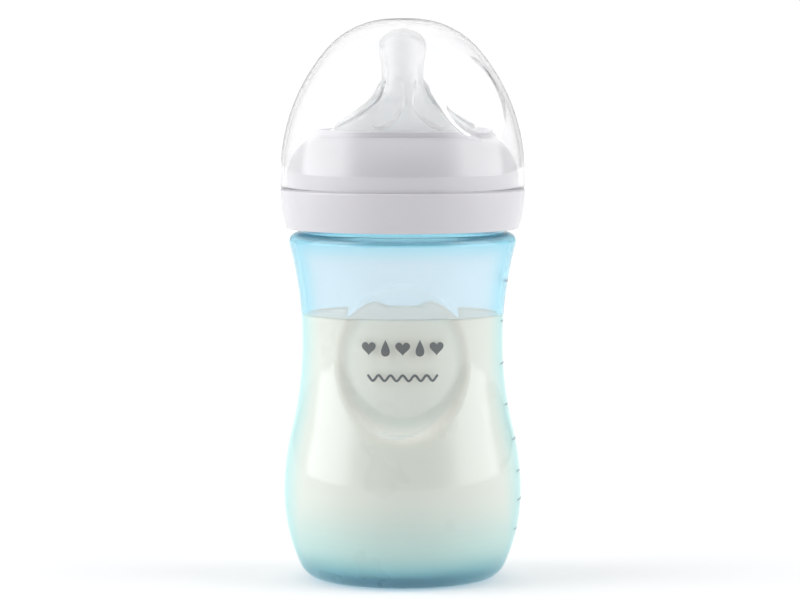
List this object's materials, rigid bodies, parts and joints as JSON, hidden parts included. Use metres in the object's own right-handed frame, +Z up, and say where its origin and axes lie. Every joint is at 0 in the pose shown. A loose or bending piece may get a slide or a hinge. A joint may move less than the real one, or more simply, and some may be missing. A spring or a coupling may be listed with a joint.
{
  "type": "baby bottle",
  "caption": "Waisted wide-neck feeding bottle with a round grip dimple, a screw ring that holds a silicone teat, and a clear dome cap that presses over the teat.",
  "frame": {"origin": "on the floor under the bottle's axis, at the centre of the base", "axes": "+Z up along the axis from base to teat; -Y to the front, the grip dimple that carries the printed emblem; +X to the right as seen from the front"},
  "size_m": [0.072, 0.072, 0.165],
  "materials": {
    "bottle_plastic": "clear blue-tinted polypropylene",
    "teat_silicone": "clear silicone, satin",
    "ring_plastic": "white polypropylene, satin gloss",
    "cap_plastic": "clear polypropylene, gloss"
  },
  "bodies": {
    "bottle": {"bottle": "bottle_plastic"},
    "teat": {"teat": "teat_silicone"},
    "ring": {"screw_ring": "ring_plastic"},
    "cap": {"dome_cap": "cap_plastic"}
  },
  "joints": [
    {"name": "teat_lift", "type": "slide", "parent": "bottle", "child": "teat", "axis": [0, 0, 1], "range_m": [0, 0.0055]},
    {"name": "ring_turn", "type": "hinge", "parent": "teat", "child": "ring", "pos_m": [0, 0, 0.11], "axis": [0, 0, 1], "range_deg": [0, 360]},
    {"name": "cap_pull", "type": "slide", "parent": "ring", "child": "cap", "axis": [0, 0, 1], "range_m": [0, 0.055]}
  ],
  "couplings": [
    {"joint": "teat_lift", "follows": "ring_turn", "m_per_rad": 0.00087535}
  ]
}
